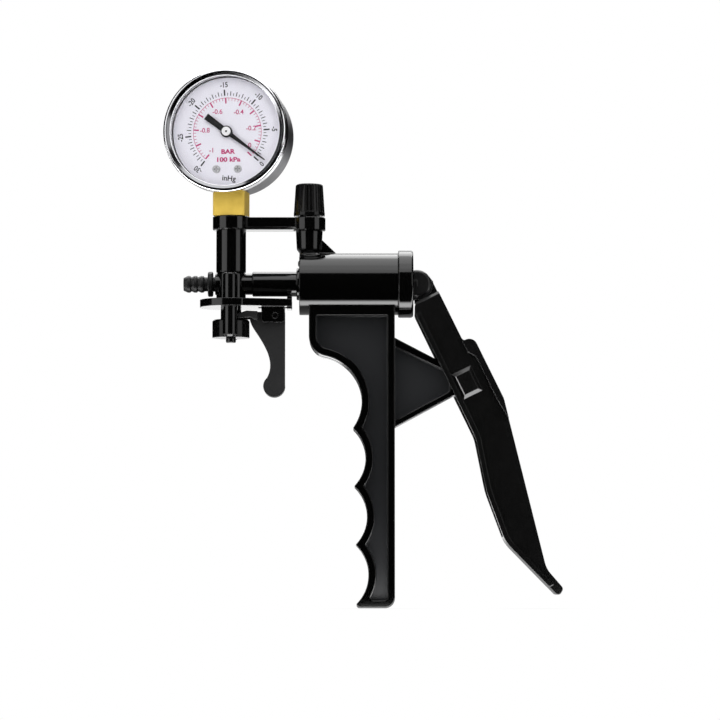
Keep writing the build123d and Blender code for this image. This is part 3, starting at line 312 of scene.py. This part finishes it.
BLACK = black_plastic("black_plastic")
BODY = body_plastic()
LEVER = black_plastic("lever_plastic", 0.13, 0.0022)
SATIN = satin_plastic("satin_plastic", 0.38, 0.009)
HOSE_TAIL = satin_plastic("hose_tail_plastic", 0.42, 0.0025, 0.3)
RUBBER = rubber()
BRASS_BLOCK = brass("brass_block", 0.38)
BRASS_PARTS = brass("brass_parts", 0.25)
CASE = case_steel()
SPACER = paint("spacer_white", ENAMEL_COLOR, 0.4)
ROD = satin_plastic("rod_plastic", 0.3, 0.004)
BEZEL = bezel_steel()
KNOB = black_plastic("knob_plastic", 0.12, 0.001, 0.3)
STEEL = metal("steel", (0.6, 0.6, 0.62), 0.2)
SPRING = metal("spring_steel", (0.5, 0.5, 0.52), 0.25)
DIAL = paint("dial_enamel", (0.80, 0.79, 0.86), 0.5)
INK_BLACK = paint("ink_black", (0.012, 0.012, 0.014), 0.5)
INK_RED = paint("ink_red", (0.52, 0.015, 0.16), 0.5)
SCREW_ZINC = screw_zinc()
CAP_WHITE = paint("cap_white", (0.85, 0.85, 0.86), 0.35)
GLASS = window_glass()

FINISHES = {
    "pump_body": BODY, "rear_cap": BLACK, "rod_bush": SATIN, "inlet_tube": BLACK,
    "intake_valve": RUBBER, "exhaust_valve": RUBBER, "manifold": BLACK, "hose_tail": HOSE_TAIL,
    "hose_tail_seal": RUBBER, "gauge_riser": BLACK, "brace_bar": BLACK, "base_plate": BLACK,
    "trigger_pin": BLACK, "lever_pin": BLACK, "gauge_socket": BRASS_BLOCK, "gauge_case": CASE,
    "gauge_bezel": BEZEL, "gauge_window": GLASS, "gauge_gasket": SPACER, "dial_plate": DIAL,
    "dial_screws": SCREW_ZINC, "bourdon_tube": BRASS_PARTS, "movement_plates": BRASS_PARTS,
    "hairspring": SPRING, "spring_clip": SATIN, "piston": SATIN, "piston_seal": RUBBER,
    "piston_screw": STEEL, "piston_rod": ROD, "rod_pin": STEEL, "lever": LEVER,
    "trigger": SATIN, "valve_cap": KNOB, "valve_seal": RUBBER, "seal_retainer": BLACK,
    "bleed_pad": RUBBER, "bleed_knob": KNOB, "sector_gear": BRASS_PARTS, "link": BRASS_PARTS,
    "pinion_spindle": STEEL, "needle": INK_BLACK, "needle_cap": CAP_WHITE,
}
for name, material in FINISHES.items():
    mesh = nodes[name].data
    mesh.materials.clear()
    mesh.materials.append(material)


# ---- pieces ---------------------------------------------------------------------------------------
def skin(mesh, rings):
    """Walls between rings of vertices in a row, closed at both ends."""
    count = len(rings[0])
    for first, second in zip(rings, rings[1:]):
        for k in range(count):
            j = (k + 1) % count
            mesh.faces.new((first[k], first[j], second[j], second[k]))
    mesh.faces.new(rings[0][::-1])
    mesh.faces.new(rings[-1])


def add_piece(name, mesh, material):
    """Turn a bmesh into a piece that rides on the frame."""
    bmesh.ops.recalc_face_normals(mesh, faces=mesh.faces)
    data = bpy.data.meshes.new(name)
    mesh.to_mesh(data)
    mesh.free()
    data.materials.append(material)
    piece = bpy.data.objects.new(name, data)
    bpy.context.collection.objects.link(piece)
    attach(piece, "frame")
    return piece


# ---- springs --------------------------------------------------------------------------------------
STEPS_PER_TURN = 32
WIRE_SIDES = 10
RETURN_WIRE = {"mean_r": 6.6 * MM, "wire_r": 0.6 * MM, "turns": 5.5}
VALVE_WIRE = {"mean_r": 3.95 * MM, "wire_r": 0.22 * MM, "turns": 2.5}


def coil(name, foot, direction, length, mean_r, wire_r, turns):
    """A wire spring that rises from its foot along a direction."""
    steps = int(turns * STEPS_PER_TURN)
    rise = (length - 2 * wire_r) / steps
    mesh = bmesh.new()
    turn = Vector((0, 0, 1)).rotation_difference(Vector(direction)).to_matrix()
    rings = []
    for i in range(steps + 1):
        angle = 2 * pi * turns * i / steps
        outward = Vector((cos(angle), sin(angle), 0))
        middle = outward * mean_r + Vector((0, 0, wire_r + rise * i))
        ring = []
        for k in range(WIRE_SIDES):
            around = 2 * pi * k / WIRE_SIDES
            offset = outward * (wire_r * cos(around)) + Vector((0, 0, wire_r * sin(around)))
            ring.append(mesh.verts.new(Vector(foot) + turn @ (middle + offset)))
        rings.append(ring)
    skin(mesh, rings)
    piece = add_piece(name, mesh, SPRING)
    for face in piece.data.polygons:
        face.use_smooth = True
    return piece


def return_coil():
    """The spring in the cylinder, which the piston presses short; drawn as a fixed coil at rest."""
    low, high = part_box("return_spring")
    along = (1, 0, 0)
    piece = coil("return_coil", (low[0], 0, 0), along, high[0] - low[0], **RETURN_WIRE)
    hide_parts("return_spring")
    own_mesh(piece)


def valve_coil():
    """The light spring under the valve cap, which the cap presses short by its stroke; drawn as a
    fixed coil at rest.
    """
    low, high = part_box("valve_spring")
    up = (0, 0, 1)
    foot = ((low[0] + high[0]) / 2, 0, low[2])
    length = high[2] - low[2]
    piece = coil("valve_coil", foot, up, length, **VALVE_WIRE)
    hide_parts("valve_spring")
    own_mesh(piece)


return_coil()
valve_coil()


# ---- printing on the dial ---------------------------------------------------------------------------
DIAL_FRONT_Y = -8.2 * MM
INK = 0.03 * MM
CAPITAL_HEIGHT = 0.69  # of the lettering's size
TO_PUMP = Matrix.Translation(DIAL_CENTRE) @ Matrix.Rotation(YAW, 4, "Z")
TEXT_UPRIGHT = Matrix(((1, 0, 0, 0), (0, 0, -1, 0), (0, 1, 0, 0), (0, 0, 0, 1)))

# The scales: angles in degrees from +X, radii and widths in millimetres.
ZERO_ANGLE = -43.0
FULL_ANGLE = 231.5
FULL_INCHES = 30
BLACK_LINE_R = 12.85
BLACK_NUMBER_R = 16.6
RED_LINE_R = 12.05
RED_LINE_WIDTH = 0.16
RED_LINE_GAP = 4  # the line stops this far before zero
RED_FULL_ANGLE = 230.4
RED_STEP = 27.5  # between two tenths of a bar

# The radius at a mark's free end, and its width.
FIVE_INCHES = (15.0, 0.5)
ONE_INCH = (14.4, 0.28)
HALF_INCH = (13.8, 0.22)
TENTH_OF_BAR = (10.1, 0.5)
FIFTIETH_OF_BAR = (11.1, 0.17)

# Text, angle and radius.
RED_NUMBERS = (
    ("-0.2", 8, 8.5), ("-0.4", 60, 8.0), ("-0.6", 116, 8.0), ("-0.8", 175, 8.0), ("-1", 229, 8.4),
    ("0", -31, 9.3),
)


def printed(name, material, marks):
    """One piece of printing from several thin meshes drawn in the gauge's own frame."""
    joined = bmesh.new()
    for mark in marks:
        joined.from_mesh(mark)
        bpy.data.meshes.remove(mark)
    joined.transform(TO_PUMP)
    add_piece(name, joined, material)


def ink_strip(left, right):
    """Thin raised patch between two equally long rows of (x, z) points, in millimetres."""
    front, back = DIAL_FRONT_Y - INK, DIAL_FRONT_Y + INK / 3
    shape = bmesh.new()
    rows = []
    for (x0, z0), (x1, z1) in zip(left, right):
        rows.append([
            shape.verts.new((x0 * MM, front, z0 * MM)), shape.verts.new((x1 * MM, front, z1 * MM)),
            shape.verts.new((x1 * MM, back, z1 * MM)), shape.verts.new((x0 * MM, back, z0 * MM)),
        ])
    skin(shape, rows)
    data = bpy.data.meshes.new("strip")
    shape.to_mesh(data)
    shape.free()
    return data


def on_dial(radius, angle):
    """Point on the dial from a radius in millimetres and an angle from +X in degrees."""
    return (radius * cos(radians(angle)), radius * sin(radians(angle)))


def tick(angle, inner, outer, width):
    """Straight mark between two radii."""
    across = (-sin(radians(angle)) * width / 2, cos(radians(angle)) * width / 2)
    ends = [on_dial(inner, angle), on_dial(outer, angle)]
    left = [(x + across[0], z + across[1]) for x, z in ends]
    right = [(x - across[0], z - across[1]) for x, z in ends]
    return ink_strip(left, right)


def arc(radius, width, start, end):
    """Curved line between two angles."""
    steps = int(abs(end - start) / 2)
    angles = [start + (end - start) * i / steps for i in range(steps + 1)]
    inner = [on_dial(radius - width / 2, a) for a in angles]
    outer = [on_dial(radius + width / 2, a) for a in angles]
    return ink_strip(inner, outer)


def lettering(text, height, x, z, turn=0.0, width=0.85, weight=0.0):
    """Raised letters centred at (x, z) on the dial.

    The capitals' height and the weight added to the strokes are in millimetres, the turn is in
    degrees, and the width is a factor.
    """
    curve = bpy.data.curves.new("text", "FONT")
    curve.body = text
    curve.align_x = "CENTER"
    curve.align_y = "CENTER"
    curve.size = height * MM / CAPITAL_HEIGHT
    curve.offset = weight * MM
    curve.extrude = 0.6 * INK
    curve.resolution_u = 4
    carrier = bpy.data.objects.new("text", curve)
    data = bpy.data.meshes.new_from_object(carrier)
    bpy.data.objects.remove(carrier)
    bpy.data.curves.remove(curve)
    move = Matrix.Translation((x * MM, DIAL_FRONT_Y - INK / 2, z * MM))
    rotate = Matrix.Rotation(radians(turn), 4, "Z")
    stretch = Matrix.Diagonal((width, 1, 1, 1))
    data.transform(move @ TEXT_UPRIGHT @ rotate @ stretch)
    return data


def inches_angle(inches):
    """Where a reading in inches of mercury stands on the dial."""
    return ZERO_ANGLE + (FULL_ANGLE - ZERO_ANGLE) * inches / FULL_INCHES


def black_scale():
    """Inches of mercury: a mark each half inch, longer at each inch, longest at each fifth."""
    marks = []
    for half in range(2 * FULL_INCHES + 1):
        kind = HALF_INCH
        if half % 10 == 0:
            kind = FIVE_INCHES
        elif half % 2 == 0:
            kind = ONE_INCH
        marks.append(tick(inches_angle(half / 2), BLACK_LINE_R, *kind))
    for inches in range(0, FULL_INCHES + 1, 5):
        angle = inches_angle(inches)
        text = f"-{inches}" if inches else "0"
        place = on_dial(BLACK_NUMBER_R, angle)
        marks.append(lettering(text, 1.75, *place, turn=angle - 90, weight=0.05))
    marks.append(lettering("inHg", 1.8, 0.6, -16.3, turn=-6.0, width=1.0, weight=0.05))
    return marks


def red_scale():
    """Bar: a thin line with a thick mark each tenth and four thin ones between."""
    line_end = RED_FULL_ANGLE - 10 * RED_STEP + RED_LINE_GAP
    marks = [arc(RED_LINE_R, RED_LINE_WIDTH, RED_FULL_ANGLE, line_end)]
    for fiftieth in range(51):
        angle = RED_FULL_ANGLE - RED_STEP * fiftieth / 5
        reach, width = TENTH_OF_BAR if fiftieth % 5 == 0 else FIFTIETH_OF_BAR
        marks.append(tick(angle, reach, RED_LINE_R, width))
    for text, angle, radius in RED_NUMBERS:
        marks.append(lettering(text, 1.6, *on_dial(radius, angle), width=1.0, weight=0.03))
    marks.append(lettering("BAR", 1.5, 0.2, -6.9, width=1.2, weight=0.09))
    marks.append(lettering("100 kPa", 1.5, 0.3, -9.7, width=1.25, weight=0.08))
    return marks


printed("dial_black", INK_BLACK, black_scale())
printed("dial_red", INK_RED, red_scale())


# ---- camera, light and floor ------------------------------------------------------------------------
CAMERA_AIM = Vector((57.6, 0, -26.6)) * MM
CAMERA_DISTANCE = 1.15
CAMERA_RISE = radians(-4.0)
FIELD_WIDTH = 0.252  # seen by the camera at the distance of its aim
SENSOR_WIDTH = 36.0
FLOOR_HALF_SIZE = 4.0
FLOOR_GAP = 0.2 * MM
PANEL_DISTANCE = 1.2
OVERHEAD_WIDTH = 1.3

# What reflections see of the floor, by its depth: a bright zone in front of the pump's foot that
# starts and ends softly, and white again far behind the pump.
BRIGHT_STARTS = (-58 * MM, -36 * MM)
BRIGHT_ENDS = (-16 * MM, 4 * MM)
BRIGHT_LEVEL = 8.5
BEHIND_LEVEL = 0.4
FAR_BEHIND = 0.7


def area_light(name, place, width, height, radiance, in_reflections=True):
    """Soft panel that faces the pump; its power follows from the wanted radiance."""
    light = bpy.data.lights.new(name, "AREA")
    light.shape = "RECTANGLE"
    light.size = width
    light.size_y = height
    light.energy = radiance * pi * width * height
    lamp = bpy.data.objects.new(name, light)
    bpy.context.collection.objects.link(lamp)
    lamp.location = place
    aim = PUMP_MIDDLE - place
    lamp.rotation_euler = aim.to_track_quat("-Z", "Y").to_euler()
    lamp.visible_glossy = in_reflections


def by_ray(tree, kind, when_true, when_false):
    """Shader that differs for one kind of ray."""
    rays = tree.nodes.new("ShaderNodeLightPath")
    mix = tree.nodes.new("ShaderNodeMixShader")
    tree.links.new(rays.outputs[kind], mix.inputs["Fac"])
    tree.links.new(when_false, mix.inputs[1])
    tree.links.new(when_true, mix.inputs[2])
    return mix.outputs[0]


def studio_world(camera_strength, diffuse_strength, glossy_strength):
    """White behind the pump, soft light all round and almost black in reflections."""
    world = bpy.data.worlds.new("studio")
    bpy.context.scene.world = world
    world.use_nodes = True
    tree = world.node_tree
    shades = []
    for strength in (camera_strength, diffuse_strength, glossy_strength):
        background = tree.nodes.new("ShaderNodeBackground")
        background.inputs["Color"].default_value = (1, 1, 1, 1)
        background.inputs["Strength"].default_value = strength
        shades.append(background.outputs[0])
    seen = by_ray(tree, "Is Diffuse Ray", shades[1], shades[2])
    seen = by_ray(tree, "Is Camera Ray", shades[0], seen)
    tree.links.new(seen, tree.nodes["World Output"].inputs["Surface"])


def floor_material():
    """Pale floor: white to the camera with a soft contact shade, and zoned in reflections."""
    shade = Shader("floor", Roughness=0.9)
    tree = shade.tree
    shade.vary_color(shade.noise(50 * MM), (0.8, 0.8, 0.8), (0.88, 0.88, 0.88))
    contact = shade.add("ShaderNodeAmbientOcclusion", Distance=20 * MM)
    white = shade.add("ShaderNodeEmission")
    shade.link(shade.span(contact.outputs["AO"], 0.8, 1.0), white.inputs["Strength"])
    depth = shade.place("Y")
    bright = shade.smooth_step(depth, *BRIGHT_STARTS)
    level = shade.smooth_step(depth, *BRIGHT_ENDS, BRIGHT_LEVEL, BEHIND_LEVEL)
    far = shade.math("GREATER_THAN", depth, FAR_BEHIND)
    mirrored = shade.add("ShaderNodeEmission")
    strength = shade.math("ADD", shade.math("MULTIPLY", bright, level), far)
    shade.link(strength, mirrored.inputs["Strength"])
    seen = by_ray(tree, "Is Glossy Ray", mirrored.outputs[0], shade.surface.outputs[0])
    seen = by_ray(tree, "Is Camera Ray", white.outputs[0], seen)
    tree.links.new(seen, tree.nodes["Material Output"].inputs["Surface"])
    return shade.material


def studio_floor():
    """Flat floor just under the pump's lowest point."""
    size = FLOOR_HALF_SIZE
    z = cad_box[0][2] - FLOOR_GAP
    mesh = bpy.data.meshes.new("floor")
    corners = [(-size, -size, z), (size, -size, z), (size, size, z), (-size, size, z)]
    mesh.from_pydata(corners, [], [(0, 1, 2, 3)])
    mesh.materials.append(floor_material())
    floor = bpy.data.objects.new("floor", mesh)
    bpy.context.collection.objects.link(floor)


def studio_camera():
    """Camera on -Y that looks slightly upwards at the pump."""
    data = bpy.data.cameras.new("camera")
    camera = bpy.data.objects.new("camera", data)
    bpy.context.collection.objects.link(camera)
    bpy.context.scene.camera = camera
    reach = CAMERA_DISTANCE * Vector((0, -cos(CAMERA_RISE), sin(CAMERA_RISE)))
    camera.location = CAMERA_AIM + reach
    camera.rotation_euler = (CAMERA_AIM - camera.location).to_track_quat("-Z", "Y").to_euler()
    data.sensor_width = SENSOR_WIDTH
    data.lens = SENSOR_WIDTH * CAMERA_DISTANCE / FIELD_WIDTH
    data.clip_start = 0.05


def overhead(name, from_angle, to_angle, radiance):
    """Overhead panel between two elevations, counted from -Y over the top towards +Y."""
    middle = radians((from_angle + to_angle) / 2)
    height = 2 * PANEL_DISTANCE * tan(radians((to_angle - from_angle) / 2))
    reach = PANEL_DISTANCE * Vector((0, -cos(middle), sin(middle)))
    area_light(name, PUMP_MIDDLE + reach, OVERHEAD_WIDTH, height, radiance)


def standing(name, from_angle, to_angle, low, high, radiance, in_reflections=True):
    """Upright panel between two bearings, counted from -Y towards +X, and two elevations."""
    middle = radians((from_angle + to_angle) / 2)
    rise = radians((low + high) / 2)
    width = 2 * PANEL_DISTANCE * tan(radians((to_angle - from_angle) / 2))
    height = 2 * PANEL_DISTANCE * tan(radians((high - low) / 2))
    reach = Vector((sin(middle) * cos(rise), -cos(middle) * cos(rise), sin(rise)))
    place = PUMP_MIDDLE + PANEL_DISTANCE * reach
    area_light(name, place, width, height, radiance, in_reflections)


studio_camera()
studio_floor()
overhead("top_front", 38, 50, 1.9)
overhead("top_middle", 50, 70, 2.3)
overhead("top", 70, 107, 2.8)
overhead("top_rear", 107, 138, 5.2)
overhead("rear", 138, 162, 1.5)
standing("left_panel", -74, -33, -27, 42, 1.5)
standing("right_panel", 40, 74, -25, 30, 1.2)
standing("fill", -25, 25, 0, 30, 2.7, in_reflections=False)
studio_world(camera_strength=1.0, diffuse_strength=0.9, glossy_strength=0.004)
bpy.context.scene.view_settings.view_transform = "Standard"
